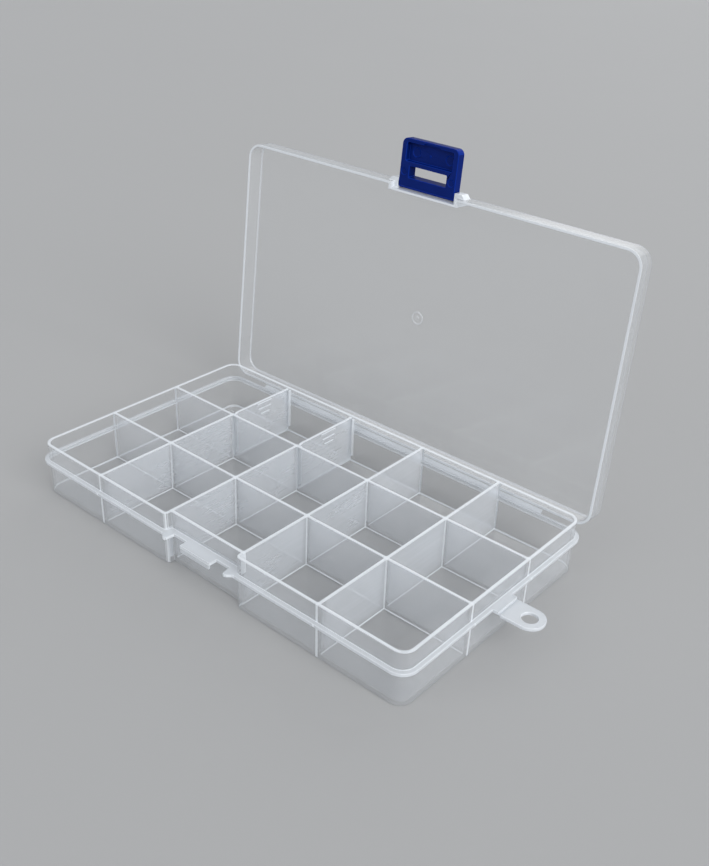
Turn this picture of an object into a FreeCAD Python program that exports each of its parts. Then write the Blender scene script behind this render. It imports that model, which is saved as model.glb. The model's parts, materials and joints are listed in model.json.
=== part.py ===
import FreeCAD, Part
import os
import re
import Sketcher
from FreeCAD import Vector

# Compartment storage box with a film-hinged lid, a snap latch, a hang tab and two lift-out dividers.
# Millimetres. X runs along the long front side, Y to the rear (the hinge side), Z up.
# The origin is the middle of the tray's underside. The lid stands open, as the box is displayed.

SIZES = {
    # tray
    "tray_length": 174.0,
    "tray_width": 97.6,
    "tray_height": 20.7,
    "outer_wall": 1.2,
    "partition_wall": 1.1,
    "floor_thickness": 1.0,
    "corner_radius": 4.8,
    "corner_return": 1.0,
    "column_pitch": 35.1,
    "row_pitch": 31.6,
    # front recess that takes the latch
    "recess_depth": 2.7,
    "recess_corner_radius": 1.8,
    # ledge that the lid's rim comes down on
    "ledge_top": 14.1,
    "ledge_thickness": 1.2,
    "ledge_overhang": 1.4,
    "recess_ledge_overhang": 1.9,
    "stop_width": 3.4,
    "stop_tip_width": 1.2,
    "stop_reach": 1.6,
    "stop_tip_radius": 0.5,
    # catch that the latch's window snaps over
    "catch_width": 14.7,
    "catch_reach": 3.2,
    "catch_drop": 2.7,
    "catch_lip": 1.0,
    # hang tab on the right side
    "tab_root_width": 10.7,
    "tab_root_reach": 2.1,
    "tab_centre_y": -1.15,
    "tab_fold_gap": 0.5,
    "tab_width": 10.5,
    "tab_hole_reach": 8.2,
    "tab_hole_radius": 2.7,
    "tab_step_down": 0.7,
    "tab_thickness": 1.3,
    # film hinge
    "hinge_offset": 2.4,
    "hinge_drop": 0.3,
    "web_length": 139.4,
    "web_height": 0.5,
    "web_rise": 0.2,
    "web_play": 0.1,
    # lid
    "lid_rest_angle": 95.0,
    "lid_side_clearance": 0.25,
    "lid_front_clearance": 0.35,
    "lid_rim_gap": 0.2,
    "lid_top_gap": 0.3,
    "lid_skirt": 1.0,
    "lid_panel_thickness": 1.0,
    "notch_width": 28.6,
    "notch_depth": 2.1,
    "notch_skirt": 0.9,
    "notch_side_wall": 1.2,
    # ears that hold the latch
    "ear_end": 15.9,
    "ear_reach": 1.5,
    "ear_chamfer": 1.0,
    "ear_low": 2.0,
    "ear_length": 3.8,
    # latch
    "latch_width": 25.0,
    "latch_side_play": 0.15,
    "latch_thickness": 3.4,
    "latch_length": 16.75,
    "latch_corner_radius": 2.2,
    "pivot_inset": 0.25,
    "pivot_low": 3.7,
    "pin_radius": 0.95,
    "pin_length": 1.45,
    "pin_clearance": 0.05,
    "window_width": 16.9,
    "window_start": 2.5,
    "window_end": 7.1,
    "grip_pocket_width": 20.8,
    "grip_pocket_start": 8.15,
    "grip_pocket_end": 15.35,
    "grip_pocket_depth": 2.0,
    # lift-out dividers and their guide ribs
    "divider_thickness": 1.1,
    "divider_end_play": 0.3,
    "divider_foot_play": 0.1,
    "divider_corner_radius": 2.0,
    "rib_play": 0.1,
    "rib_width": 0.7,
    "rib_reach": 1.2,
    "rib_foot_gap": 2.5,
    "rib_top_gap": 0.6,
}

# Places worked out from the sizes, each written once and used by every piece that meets there.
half_length = "(tray_length / 2)"
half_width = "(tray_width / 2)"
inner_x = "(tray_length / 2 - outer_wall)"
inner_y = "(tray_width / 2 - outer_wall)"
corner_y = "(tray_width / 2 - corner_radius - corner_return)"
inner_corner = "(corner_radius - outer_wall)"
recess_x = "(column_pitch / 2 - partition_wall / 2)"
recess_outside = "(column_pitch / 2 + partition_wall / 2)"
recess_y = "(-tray_width / 2 + recess_depth)"
row_near = "(row_pitch / 2 - partition_wall / 2)"
row_far = "(row_pitch / 2 + partition_wall / 2)"
ledge_x = "(tray_length / 2 + ledge_overhang)"
ledge_y = "(tray_width / 2 + ledge_overhang)"
ledge_corner = "(corner_radius + ledge_overhang)"
ledge_under = "(ledge_top - ledge_thickness)"
recess_ledge_y = "(-tray_width / 2 + recess_depth - recess_ledge_overhang)"
stop_x = "(column_pitch / 2 - partition_wall / 2 - stop_width)"
catch_y = f"({recess_ledge_y} - catch_reach)"
tab_start = f"({ledge_x} + tab_root_reach + tab_fold_gap)"
tab_end = f"({ledge_x} + tab_root_reach + tab_hole_reach)"
tab_top = "(ledge_top - tab_step_down)"
hinge_y = "(tray_width / 2 + hinge_offset)"
hinge_z = "(ledge_top - hinge_drop)"
lid_x = "(tray_length / 2 + lid_side_clearance + lid_skirt)"
lid_inner_x = "(tray_length / 2 + lid_side_clearance)"
lid_rear = "(tray_width / 2 + lid_side_clearance + lid_skirt)"
lid_inner_rear = "(tray_width / 2 + lid_side_clearance)"
lid_front = "(-tray_width / 2 - lid_front_clearance - lid_skirt)"
lid_inner_front = "(-tray_width / 2 - lid_front_clearance)"
lid_corner = "(corner_radius + lid_side_clearance + lid_skirt)"
lid_inner_corner = "(corner_radius + lid_side_clearance)"
rim_z = "(ledge_top + lid_rim_gap)"
panel_under = "(tray_height + lid_top_gap)"
panel_top = f"({panel_under} + lid_panel_thickness)"
notch_x = "(notch_width / 2)"
notch_y = f"({lid_front} + notch_depth)"
ear_x = "(latch_width / 2 + latch_side_play)"
pivot_y = f"({lid_front} + pivot_inset)"
pivot_z = f"({rim_z} + pivot_low)"
latch_under = f"({pivot_z} - latch_thickness / 2)"

# The lid's pieces are drawn where they lie when the box is shut, then turned about the hinge.
LID_PLACEMENT = (
    "placement(vector(0; 0; 0); rotation(vector(1; 0; 0); -lid_rest_angle);"
    f" vector(0; {hinge_y}; {hinge_z}))"
)

# Which two directions a sketch plane shows.
PLANE_AXES = {"XY_Plane": (0, 1), "YZ_Plane": (1, 2)}
SAME_PLACE = 1e-4

doc = FreeCAD.newDocument("StorageBox")
sheet = doc.addObject("Spreadsheet::Sheet", "Sizes")
for row, (size_name, size) in enumerate(SIZES.items(), start=1):
    sheet.set(f"A{row}", size_name)
    sheet.set(f"B{row}", str(size))
    sheet.setAlias(f"B{row}", size_name)
doc.recompute()
nodes = []


def bound(expression):
    """The expression with each size's name pointing at its cell."""
    return re.sub(r"[a-z_]+", lambda word: "Sizes." + word[0] if word[0] in SIZES else word[0], expression)


def value(expression):
    return float(sheet.evalExpression(bound(expression)))


def bind(item, setting, expression):
    item.setExpression(setting, bound(expression))


def minus(expression):
    return f"-({expression})"


def keep(item, name):
    item.Label = name
    nodes.append(item)
    return item


def block(name, x, y, z):
    """A plain wall between pairs of places along X, Y and Z."""
    box = doc.addObject("Part::Box", name)
    sides = zip(("Length", "Width", "Height"), "xyz", (x, y, z))
    for side, axis, (low, high) in sides:
        bind(box, side, f"({high}) - ({low})")
        bind(box, "Placement.Base." + axis, low)
    return box


def wall(name, x, y, z):
    return keep(block(name, x, y, z), name)


def new_sketch(body, name, plane, offset):
    sketch = body.newObject("Sketcher::SketchObject", name)
    support = next(item for item in body.Origin.OriginFeatures if item.Role == plane)
    sketch.AttachmentSupport = [(support, "")]
    sketch.MapMode = "FlatFace"
    bind(sketch, "AttachmentOffset.Base.z", offset)
    return sketch


def hold(sketch, kind, label, geometry, point, expression):
    """Fix one point of the sketch at a bound distance from the sketch's origin."""
    constraint = Sketcher.Constraint(kind, -1, 1, geometry, point, value(expression))
    number = sketch.addConstraint(constraint)
    sketch.renameConstraint(number, label)
    bind(sketch, "Constraints." + label, expression)


def outline_sketch(body, name, plane, offset, points):
    sketch = new_sketch(body, name, plane, offset)
    places = [Vector(value(across), value(up), 0) for across, up in points]
    for start, end in zip(places, places[1:] + places[:1]):
        sketch.addGeometry(Part.LineSegment(start, end), False)
    for line, (across, up) in enumerate(points):
        sketch.addConstraint(Sketcher.Constraint("Coincident", line, 2, (line + 1) % len(points), 1))
        hold(sketch, "DistanceX", f"across_{line}", line, 1, across)
        hold(sketch, "DistanceY", f"up_{line}", line, 1, up)
    return sketch


def circle_sketch(body, name, plane, offset, centre, radius):
    sketch = new_sketch(body, name, plane, offset)
    middle = Vector(value(centre[0]), value(centre[1]), 0)
    sketch.addGeometry(Part.Circle(middle, Vector(0, 0, 1), value(radius)), False)
    hold(sketch, "DistanceX", "centre_across", 0, 3, centre[0])
    hold(sketch, "DistanceY", "centre_up", 0, 3, centre[1])
    number = sketch.addConstraint(Sketcher.Constraint("Radius", 0, value(radius)))
    sketch.renameConstraint(number, "radius")
    bind(sketch, "Constraints.radius", radius)
    return sketch


def grow(body, name, sketch, length):
    pad = body.newObject("PartDesign::Pad", name)
    pad.Profile = sketch
    bind(pad, "Length", length)
    body.Tip = pad
    doc.recompute()
    return pad


def cut(body, name, sketch, length):
    """A pocket along the sketch's normal, which must take something away."""
    before = body.Shape.Volume
    pocket = body.newObject("PartDesign::Pocket", name)
    pocket.Profile = sketch
    pocket.Reversed = True
    bind(pocket, "Length", length)
    body.Tip = pocket
    doc.recompute()
    if not body.Shape.Volume < before:
        raise RuntimeError(name + " cuts nothing")
    return pocket


def round_corners(body, name, plane, corners, radius):
    """Fillet the edges that stand on the given corners of the body's outline."""
    across, up = PLANE_AXES[plane]
    places = [(value(a), value(b)) for a, b in corners]
    feature = body.Tip
    picked = []
    for number, edge in enumerate(feature.Shape.Edges, start=1):
        ends = [vertex.Point for vertex in edge.Vertexes]
        for a, b in places:
            if all(abs(end[across] - a) < SAME_PLACE and abs(end[up] - b) < SAME_PLACE for end in ends):
                picked.append(f"Edge{number}")
    if len(picked) != len(places):
        raise RuntimeError(name + " finds the wrong edges")
    fillet = body.newObject("PartDesign::Fillet", name)
    fillet.Base = (feature, picked)
    bind(fillet, "Radius", radius)
    body.Tip = fillet
    doc.recompute()


def plate(name, plane, points, low, high, rounds=(), placement=None):
    """A body of one outline between two levels, with (radius, corners) pairs to round."""
    body = keep(doc.addObject("PartDesign::Body", name), name)
    if placement:
        bind(body, "Placement", placement)
    sketch = outline_sketch(body, name + "_outline", plane, low, points)
    grow(body, name + "_pad", sketch, f"({high}) - ({low})")
    for number, (radius, corners) in enumerate(rounds, start=1):
        round_corners(body, f"{name}_round_{number}", plane, corners, radius)
    return body


def mirrored(side, points):
    """The points of the right-hand side, or of the left-hand side where side is -1."""
    return [(f"{side} * {across}", up) for across, up in points]


def span(side, low, high):
    """A stretch along X on the right-hand side, or its mirror image on the left."""
    return (low, high) if side > 0 else (minus(high), minus(low))


# Tray floor, with the recess in its front edge
outer_corners = [(x, y) for x in (half_length, minus(half_length)) for y in (half_width, minus(half_width))]
recess_corners = [(recess_x, minus(half_width)), (minus(recess_x), minus(half_width))]
floor_points = [
    (half_length, half_width),
    (minus(half_length), half_width),
    (minus(half_length), minus(half_width)),
    (minus(recess_x), minus(half_width)),
    (minus(recess_x), recess_y),
    (recess_x, recess_y),
    (recess_x, minus(half_width)),
    (half_length, minus(half_width)),
]
plate("tray_floor", "XY_Plane", floor_points, "0", "floor_thickness",
      [("corner_radius", outer_corners), ("recess_corner_radius", recess_corners)])

# Outer walls
wall_heights = ("floor_thickness", "tray_height")


def rear_frame(name, outer, inner, corner, inner_radius, start, low, high, placement=None):
    """A straight rear piece with both rear corners, between an outer and an inner (x, y)."""
    points = [
        (outer[0], start),
        outer,
        (minus(outer[0]), outer[1]),
        (minus(outer[0]), start),
        (minus(inner[0]), start),
        (minus(inner[0]), inner[1]),
        inner,
        (inner[0], start),
    ]
    rounds = [(corner, [points[1], points[2]]), (inner_radius, [points[5], points[6]])]
    plate(name, "XY_Plane", points, low, high, rounds, placement)


rear_frame("rear_wall", (half_length, half_width), (inner_x, inner_y), "corner_radius", inner_corner,
           corner_y, *wall_heights)

SIDES = {"left": -1, "right": 1}
for side_name, side in SIDES.items():
    wall(side_name + "_wall", span(side, inner_x, half_length), (minus(corner_y), corner_y), wall_heights)
    front_points = mirrored(side, [
        (half_length, minus(corner_y)),
        (half_length, minus(half_width)),
        (recess_x, minus(half_width)),
        (recess_x, minus(corner_y)),
        (recess_outside, minus(corner_y)),
        (recess_outside, minus(inner_y)),
        (inner_x, minus(inner_y)),
        (inner_x, minus(corner_y)),
    ])
    plate("front_wall_" + side_name, "XY_Plane", front_points, *wall_heights, [
        ("corner_radius", [front_points[1]]),
        ("recess_corner_radius", [front_points[2]]),
        ("recess_corner_radius - partition_wall", [front_points[5]]),
        (inner_corner, [front_points[6]]),
    ])
wall("recess_wall", (minus(recess_x), recess_x), (recess_y, recess_y + " + outer_wall"), wall_heights)

# Partitions: two walls along the length, and the walls across between them
wall("row_wall_front", (minus(inner_x), inner_x), (minus(row_far), minus(row_near)), wall_heights)
wall("row_wall_rear", (minus(inner_x), inner_x), (row_near, row_far), wall_heights)
COLUMN_PLACES = {1: -1.5, 2: -0.5, 3: 0.5, 4: 1.5}
BESIDE_RECESS = (2, 3)
MOULDED_IN_REAR_ROW = (3, 4)
for column, place in COLUMN_PLACES.items():
    thickness = (f"{place} * column_pitch - partition_wall / 2", f"{place} * column_pitch + partition_wall / 2")
    front_end = minus(corner_y) if column in BESIDE_RECESS else minus(inner_y)
    wall(f"column_wall_{column}_front", thickness, (front_end, minus(row_far)), wall_heights)
    wall(f"column_wall_{column}_middle", thickness, (minus(row_near), row_near), wall_heights)
    if column in MOULDED_IN_REAR_ROW:
        wall(f"column_wall_{column}_rear", thickness, (row_far, inner_y), wall_heights)

# Ledge around the outside, with a stop at each corner of the recess
ledge_heights = (ledge_under, "ledge_top")
rear_frame("ledge_rear", (ledge_x, ledge_y), (half_length, half_width), ledge_corner, "corner_radius",
           corner_y, *ledge_heights)
stop_middle = f"({recess_x} - stop_width / 2)"
for side_name, side in SIDES.items():
    wall("ledge_" + side_name, span(side, half_length, ledge_x), (minus(corner_y), corner_y), ledge_heights)
    ledge_points = mirrored(side, [
        (ledge_x, minus(corner_y)),
        (ledge_x, minus(ledge_y)),
        (recess_x, minus(ledge_y)),
        (stop_middle, minus(ledge_y) + " - stop_reach"),
        (f"({stop_middle} - stop_tip_width)", minus(ledge_y) + " - stop_reach"),
        (stop_x, recess_ledge_y),
        (stop_x, recess_y),
        (recess_x, recess_y),
        (recess_x, minus(half_width)),
        (half_length, minus(half_width)),
        (half_length, minus(corner_y)),
    ])
    plate("ledge_front_" + side_name, "XY_Plane", ledge_points, *ledge_heights, [
        (ledge_corner, [ledge_points[1]]),
        ("stop_tip_radius", [ledge_points[3], ledge_points[4]]),
        ("recess_corner_radius", [ledge_points[8]]),
        ("corner_radius", [ledge_points[9]]),
    ])
wall("ledge_recess", (minus(stop_x), stop_x), (recess_ledge_y, recess_y), ledge_heights)

# Catch: a plate out of the recess ledge, with its front edge turned down
catch_points = [
    (recess_ledge_y, "ledge_top"),
    (catch_y, "ledge_top"),
    (catch_y, "ledge_top - catch_drop"),
    (catch_y + " + catch_lip", "ledge_top - catch_drop"),
    (catch_y + " + catch_lip", ledge_under),
    (recess_ledge_y, ledge_under),
]
plate("latch_catch", "YZ_Plane", catch_points, "-catch_width / 2", "catch_width / 2")

# Hang tab: a root on the right-hand ledge, a thin fold, and the tab with its hole
wall("hang_tab_root", (ledge_x, ledge_x + " + tab_root_reach"),
     ("tab_centre_y - tab_root_width / 2", "tab_centre_y + tab_root_width / 2"), ledge_heights)
tab_points = [
    (tab_start, "tab_centre_y - tab_width / 2"),
    (tab_end, "tab_centre_y - tab_width / 2"),
    (tab_end, "tab_centre_y + tab_width / 2"),
    (tab_start, "tab_centre_y + tab_width / 2"),
]
tab_under = f"({tab_top} - tab_thickness)"
tab = plate("hang_tab", "XY_Plane", tab_points, tab_under, tab_top)
tab_middle = (tab_end, "tab_centre_y")
tab_round = circle_sketch(tab, "hang_tab_round", "XY_Plane", tab_under, tab_middle, "tab_width / 2")
grow(tab, "hang_tab_end", tab_round, "tab_thickness")
tab_hole = circle_sketch(tab, "hang_tab_circle", "XY_Plane", tab_under, tab_middle, "tab_hole_radius")
cut(tab, "hang_tab_hole", tab_hole, "tab_thickness")

# Film hinge: a thin web from the rear ledge to the lid's rim, as it lies with the lid at rest
rim_rest_y = (
    f"({hinge_y} + ({lid_rear} - {hinge_y}) * cos(lid_rest_angle)"
    f" + ({rim_z} - {hinge_z}) * sin(lid_rest_angle))"
)
rim_rest_z = (
    f"({hinge_z} - ({lid_rear} - {hinge_y}) * sin(lid_rest_angle)"
    f" + ({rim_z} - {hinge_z}) * cos(lid_rest_angle))"
)
web_points = [
    (ledge_y, ledge_under + " + web_rise"),
    (rim_rest_y + " - web_play", rim_rest_z + " - web_height"),
    (rim_rest_y + " - web_play", rim_rest_z),
    (ledge_y, ledge_under + " + web_rise + web_height"),
]
plate("hinge_web", "YZ_Plane", web_points, "-web_length / 2", "web_length / 2")

# Lid panel and skirt, with the notch that the latch swings in
lid_corners = [(x, y) for x in (lid_x, minus(lid_x)) for y in (lid_rear, lid_front)]
panel_points = [
    (lid_x, lid_rear),
    (minus(lid_x), lid_rear),
    (minus(lid_x), lid_front),
    (minus(notch_x), lid_front),
    (minus(notch_x), notch_y),
    (notch_x, notch_y),
    (notch_x, lid_front),
    (lid_x, lid_front),
]
plate("lid_panel", "XY_Plane", panel_points, panel_under, panel_top, [(lid_corner, lid_corners)],
      LID_PLACEMENT)
skirt_heights = (rim_z, panel_under)
lid_rear_start = f"({lid_rear} - {lid_corner} - corner_return)"
lid_front_start = f"({lid_front} + {lid_corner} + corner_return)"
notch_inner_y = f"({notch_y} + notch_skirt)"
rear_frame("lid_rear_skirt", (lid_x, lid_rear), (lid_inner_x, lid_inner_rear), lid_corner, lid_inner_corner,
           lid_rear_start, *skirt_heights, LID_PLACEMENT)
for side_name, side in SIDES.items():
    side_points = mirrored(side, [
        (lid_inner_x, lid_front_start),
        (lid_x, lid_front_start),
        (lid_x, lid_rear_start),
        (lid_inner_x, lid_rear_start),
    ])
    plate(f"lid_{side_name}_skirt", "XY_Plane", side_points, *skirt_heights, (), LID_PLACEMENT)
    front_points = mirrored(side, [
        (lid_x, lid_front_start),
        (lid_x, lid_front),
        (notch_x, lid_front),
        (notch_x, notch_inner_y),
        (f"({notch_x} + notch_side_wall)", notch_inner_y),
        (f"({notch_x} + notch_side_wall)", lid_inner_front),
        (lid_inner_x, lid_inner_front),
        (lid_inner_x, lid_front_start),
    ])
    plate("lid_front_skirt_" + side_name, "XY_Plane", front_points, *skirt_heights,
          [(lid_corner, [front_points[1]]), (lid_inner_corner, [front_points[6]])], LID_PLACEMENT)
notch_points = [
    (minus(notch_x), notch_y),
    (notch_x, notch_y),
    (notch_x, notch_inner_y),
    (minus(notch_x), notch_inner_y),
]
plate("lid_notch_skirt", "XY_Plane", notch_points, *skirt_heights, (), LID_PLACEMENT)

# Ears on the lid, each with a blind hole for one of the latch's pins
ear_under = f"({rim_z} + ear_low)"
ear_front = f"({lid_front} - ear_reach)"
for side_name, side in SIDES.items():
    ear_points = mirrored(side, [
        (ear_x, notch_y),
        (ear_x, ear_front),
        ("(ear_end - ear_chamfer)", ear_front),
        ("ear_end", ear_front + " + ear_chamfer"),
        ("ear_end", lid_front),
        (notch_x, lid_front),
        (notch_x, notch_y),
    ])
    ear = plate("latch_ear_" + side_name, "XY_Plane", ear_points, ear_under, ear_under + " + ear_length",
                (), LID_PLACEMENT)
    hole_start = span(side, ear_x, notch_x)[0]
    ear_circle = circle_sketch(ear, f"latch_ear_{side_name}_circle", "YZ_Plane", hole_start,
                               (pivot_y, pivot_z), "pin_radius + pin_clearance")
    cut(ear, f"latch_ear_{side_name}_hole", ear_circle, f"{notch_x} - {ear_x}")

# Latch: a blade with a round pivot end, two pins, the window for the catch and a finger pocket
latch_x = "(latch_width / 2)"
latch_tip = f"({pivot_y} - latch_length)"


def latch_rectangle(half, start, end):
    """A rectangle about the latch's middle, between two distances from its pivot."""
    return [
        (minus(half), f"{pivot_y} - {end}"),
        (half, f"{pivot_y} - {end}"),
        (half, f"{pivot_y} - {start}"),
        (minus(half), f"{pivot_y} - {start}"),
    ]


blade_points = [
    (minus(latch_x), latch_tip),
    (latch_x, latch_tip),
    (latch_x, pivot_y),
    (minus(latch_x), pivot_y),
]
latch = plate("latch", "XY_Plane", blade_points, latch_under, latch_under + " + latch_thickness",
              [("latch_corner_radius", blade_points[:2])], LID_PLACEMENT)
pivot_end = circle_sketch(latch, "latch_pivot_circle", "YZ_Plane", minus(latch_x), (pivot_y, pivot_z),
                          "latch_thickness / 2")
grow(latch, "latch_pivot_end", pivot_end, "latch_width")
pins = circle_sketch(latch, "latch_pin_circle", "YZ_Plane", minus(latch_x) + " - pin_length",
                     (pivot_y, pivot_z), "pin_radius")
grow(latch, "latch_pins", pins, "latch_width + 2 * pin_length")
window = outline_sketch(latch, "latch_window_outline", "XY_Plane", latch_under,
                        latch_rectangle("window_width / 2", "window_start", "window_end"))
cut(latch, "latch_window", window, "latch_thickness")
finger_pocket = outline_sketch(latch, "latch_pocket_outline", "XY_Plane", latch_under,
                               latch_rectangle("grip_pocket_width / 2", "grip_pocket_start", "grip_pocket_end"))
cut(latch, "latch_pocket", finger_pocket, "grip_pocket_depth")

# Lift-out dividers of the rear row, each between four guide ribs
DIVIDER_COLUMNS = (1, 2)
divider_ends = (row_far + " + divider_end_play", inner_y + " - divider_end_play")
for column in DIVIDER_COLUMNS:
    middle = f"{COLUMN_PLACES[column]} * column_pitch"
    divider_foot = "floor_thickness + divider_foot_play"
    divider_points = [
        (divider_ends[0], divider_foot),
        (divider_ends[1], divider_foot),
        (divider_ends[1], "tray_height"),
        (divider_ends[0], "tray_height"),
    ]
    plate(f"divider_{column}", "YZ_Plane", divider_points, middle + " - divider_thickness / 2",
          middle + " + divider_thickness / 2", [("divider_corner_radius", [divider_points[3]])])
    ribs = []
    rib_heights = ("floor_thickness + rib_foot_gap", "tray_height - rib_top_gap")
    rib_near = "(divider_thickness / 2 + rib_play)"
    rib_across = (f"{middle} - {rib_near} - rib_width", f"{middle} - {rib_near}")
    rib_across_right = (f"{middle} + {rib_near}", f"{middle} + {rib_near} + rib_width")
    for end_name, along in (("front", (row_far, row_far + " + rib_reach")),
                            ("rear", (inner_y + " - rib_reach", inner_y))):
        ribs.append(block(f"rib_{column}_{end_name}_left", rib_across, along, rib_heights))
        ribs.append(block(f"rib_{column}_{end_name}_right", rib_across_right, along, rib_heights))
    group = doc.addObject("Part::Compound", f"guide_ribs_{column}")
    group.Links = ribs
    keep(group, f"guide_ribs_{column}")

doc.recompute()

# Every object is sound before anything is written
for item in doc.Objects:
    if {"Invalid", "Error"} & set(item.State):
        raise RuntimeError(item.Name + " failed to build")
for node in nodes:
    if node.Shape.isNull() or not node.Shape.isValid() or not node.Shape.Solids:
        raise RuntimeError(node.Label + " has no valid solid")
os.makedirs("parts", exist_ok=True)
for node in nodes:
    node.Shape.exportStep(f"parts/{node.Label}.step")
print(len(nodes), "nodes written")
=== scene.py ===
import json
import math
from contextlib import contextmanager

import bmesh
import bpy
from mathutils import Matrix, Vector
from mathutils.bvhtree import BVHTree

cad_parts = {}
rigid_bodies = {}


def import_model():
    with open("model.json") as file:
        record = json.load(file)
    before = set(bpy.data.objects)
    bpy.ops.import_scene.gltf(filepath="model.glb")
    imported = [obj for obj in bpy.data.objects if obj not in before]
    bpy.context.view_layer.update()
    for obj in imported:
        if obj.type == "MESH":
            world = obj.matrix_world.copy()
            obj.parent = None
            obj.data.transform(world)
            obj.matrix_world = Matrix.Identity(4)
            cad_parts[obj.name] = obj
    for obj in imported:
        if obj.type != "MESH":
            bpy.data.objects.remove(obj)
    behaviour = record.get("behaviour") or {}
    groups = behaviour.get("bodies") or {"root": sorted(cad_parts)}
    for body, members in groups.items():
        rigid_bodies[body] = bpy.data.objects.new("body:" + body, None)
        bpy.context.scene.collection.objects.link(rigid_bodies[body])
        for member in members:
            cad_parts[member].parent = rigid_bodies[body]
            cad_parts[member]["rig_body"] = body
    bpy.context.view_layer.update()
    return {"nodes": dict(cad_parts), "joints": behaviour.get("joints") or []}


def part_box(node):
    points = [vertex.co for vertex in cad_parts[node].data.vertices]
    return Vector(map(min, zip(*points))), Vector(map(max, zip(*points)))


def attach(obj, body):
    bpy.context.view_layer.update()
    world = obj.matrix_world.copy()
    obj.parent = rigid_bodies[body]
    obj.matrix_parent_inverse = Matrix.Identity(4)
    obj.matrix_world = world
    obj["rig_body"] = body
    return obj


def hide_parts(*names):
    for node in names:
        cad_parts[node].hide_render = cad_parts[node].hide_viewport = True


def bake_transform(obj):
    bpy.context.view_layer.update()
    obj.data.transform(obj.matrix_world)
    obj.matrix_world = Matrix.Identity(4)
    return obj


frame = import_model()

# Compartment storage box of see-through polypropylene, displayed with its lid open.
# Metres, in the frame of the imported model: X along the long front side, Y to the hinge, Z up.
# Lid and latch are shaped where they lie when the box is shut, then swung open.

bl_info = {
    "name": "Compartment storage box",
    "version": (1, 0, 0),
    "blender": (4, 5, 0),
    "location": "View3D > Sidebar > Storage Box",
    "description": "Dresses a see-through compartment box around its packed frame",
    "category": "Add Mesh",
}

MM = 0.001
SNUG = 1e-5  # how near a point has to be to count as being at a place
ROOM = 0.005  # how far a cutter stands proud of what it cuts

# Places read from the frame
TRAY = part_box("tray_floor")
HALF_X = TRAY[1].x
HALF_Y = TRAY[1].y
FLOOR_TOP = TRAY[1].z
RIM_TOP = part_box("rear_wall")[1].z
INNER_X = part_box("right_wall")[0].x
INNER_Y = HALF_Y - (HALF_X - INNER_X)
LEDGE_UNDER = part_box("ledge_right")[0].z
LEDGE_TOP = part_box("ledge_right")[1].z
LEDGE_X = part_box("ledge_right")[1].x
LEDGE_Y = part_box("ledge_rear")[1].y
RECESS_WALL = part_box("recess_wall")
RECESS_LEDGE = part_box("ledge_recess")
STOP_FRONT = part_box("ledge_front_right")[0].y
COLUMN_WALLS = [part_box(f"column_wall_{number}_front") for number in (1, 2, 3, 4)]
ROW_WALLS = [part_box("row_wall_front"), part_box("row_wall_rear")]
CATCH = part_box("latch_catch")
TAB_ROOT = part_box("hang_tab_root")
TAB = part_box("hang_tab")
JOINTS = {joint["name"]: joint for joint in frame["joints"]}


def about(place, angle, axis):
    """A turn by an angle in degrees about a line through a place."""
    middle = Matrix.Translation(place)
    return middle @ Matrix.Rotation(math.radians(angle), 4, axis) @ middle.inverted()


HINGE = Vector(JOINTS["lid_hinge"]["pos_m"])
SHUT_ANGLE = JOINTS["lid_hinge"]["range_deg"][0]
SHUT = about(HINGE, SHUT_ANGLE, Vector(JOINTS["lid_hinge"]["axis"]))
OPEN = SHUT.inverted()
PIVOT = SHUT @ Vector(JOINTS["latch_hinge"]["pos_m"])


def shut_box(node):
    """The lowest and highest corners of a lid piece as it lies when the box is shut."""
    places = [SHUT @ vertex.co for vertex in frame["nodes"][node].data.vertices]
    low = Vector([min(place[axis] for place in places) for axis in range(3)])
    high = Vector([max(place[axis] for place in places) for axis in range(3)])
    return low, high


LID = shut_box("lid_panel")
LID_RIM = shut_box("lid_left_skirt")[0].z
LID_UNDER = LID[0].z
LID_INNER_X = shut_box("lid_right_skirt")[0].x
LID_SKIRT = LID[1].x - LID_INNER_X
NOTCH = shut_box("lid_notch_skirt")
NOTCH_X = NOTCH[1].x
EAR = shut_box("latch_ear_right")
BLADE = shut_box("latch")


# Settings that a user would change

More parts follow.
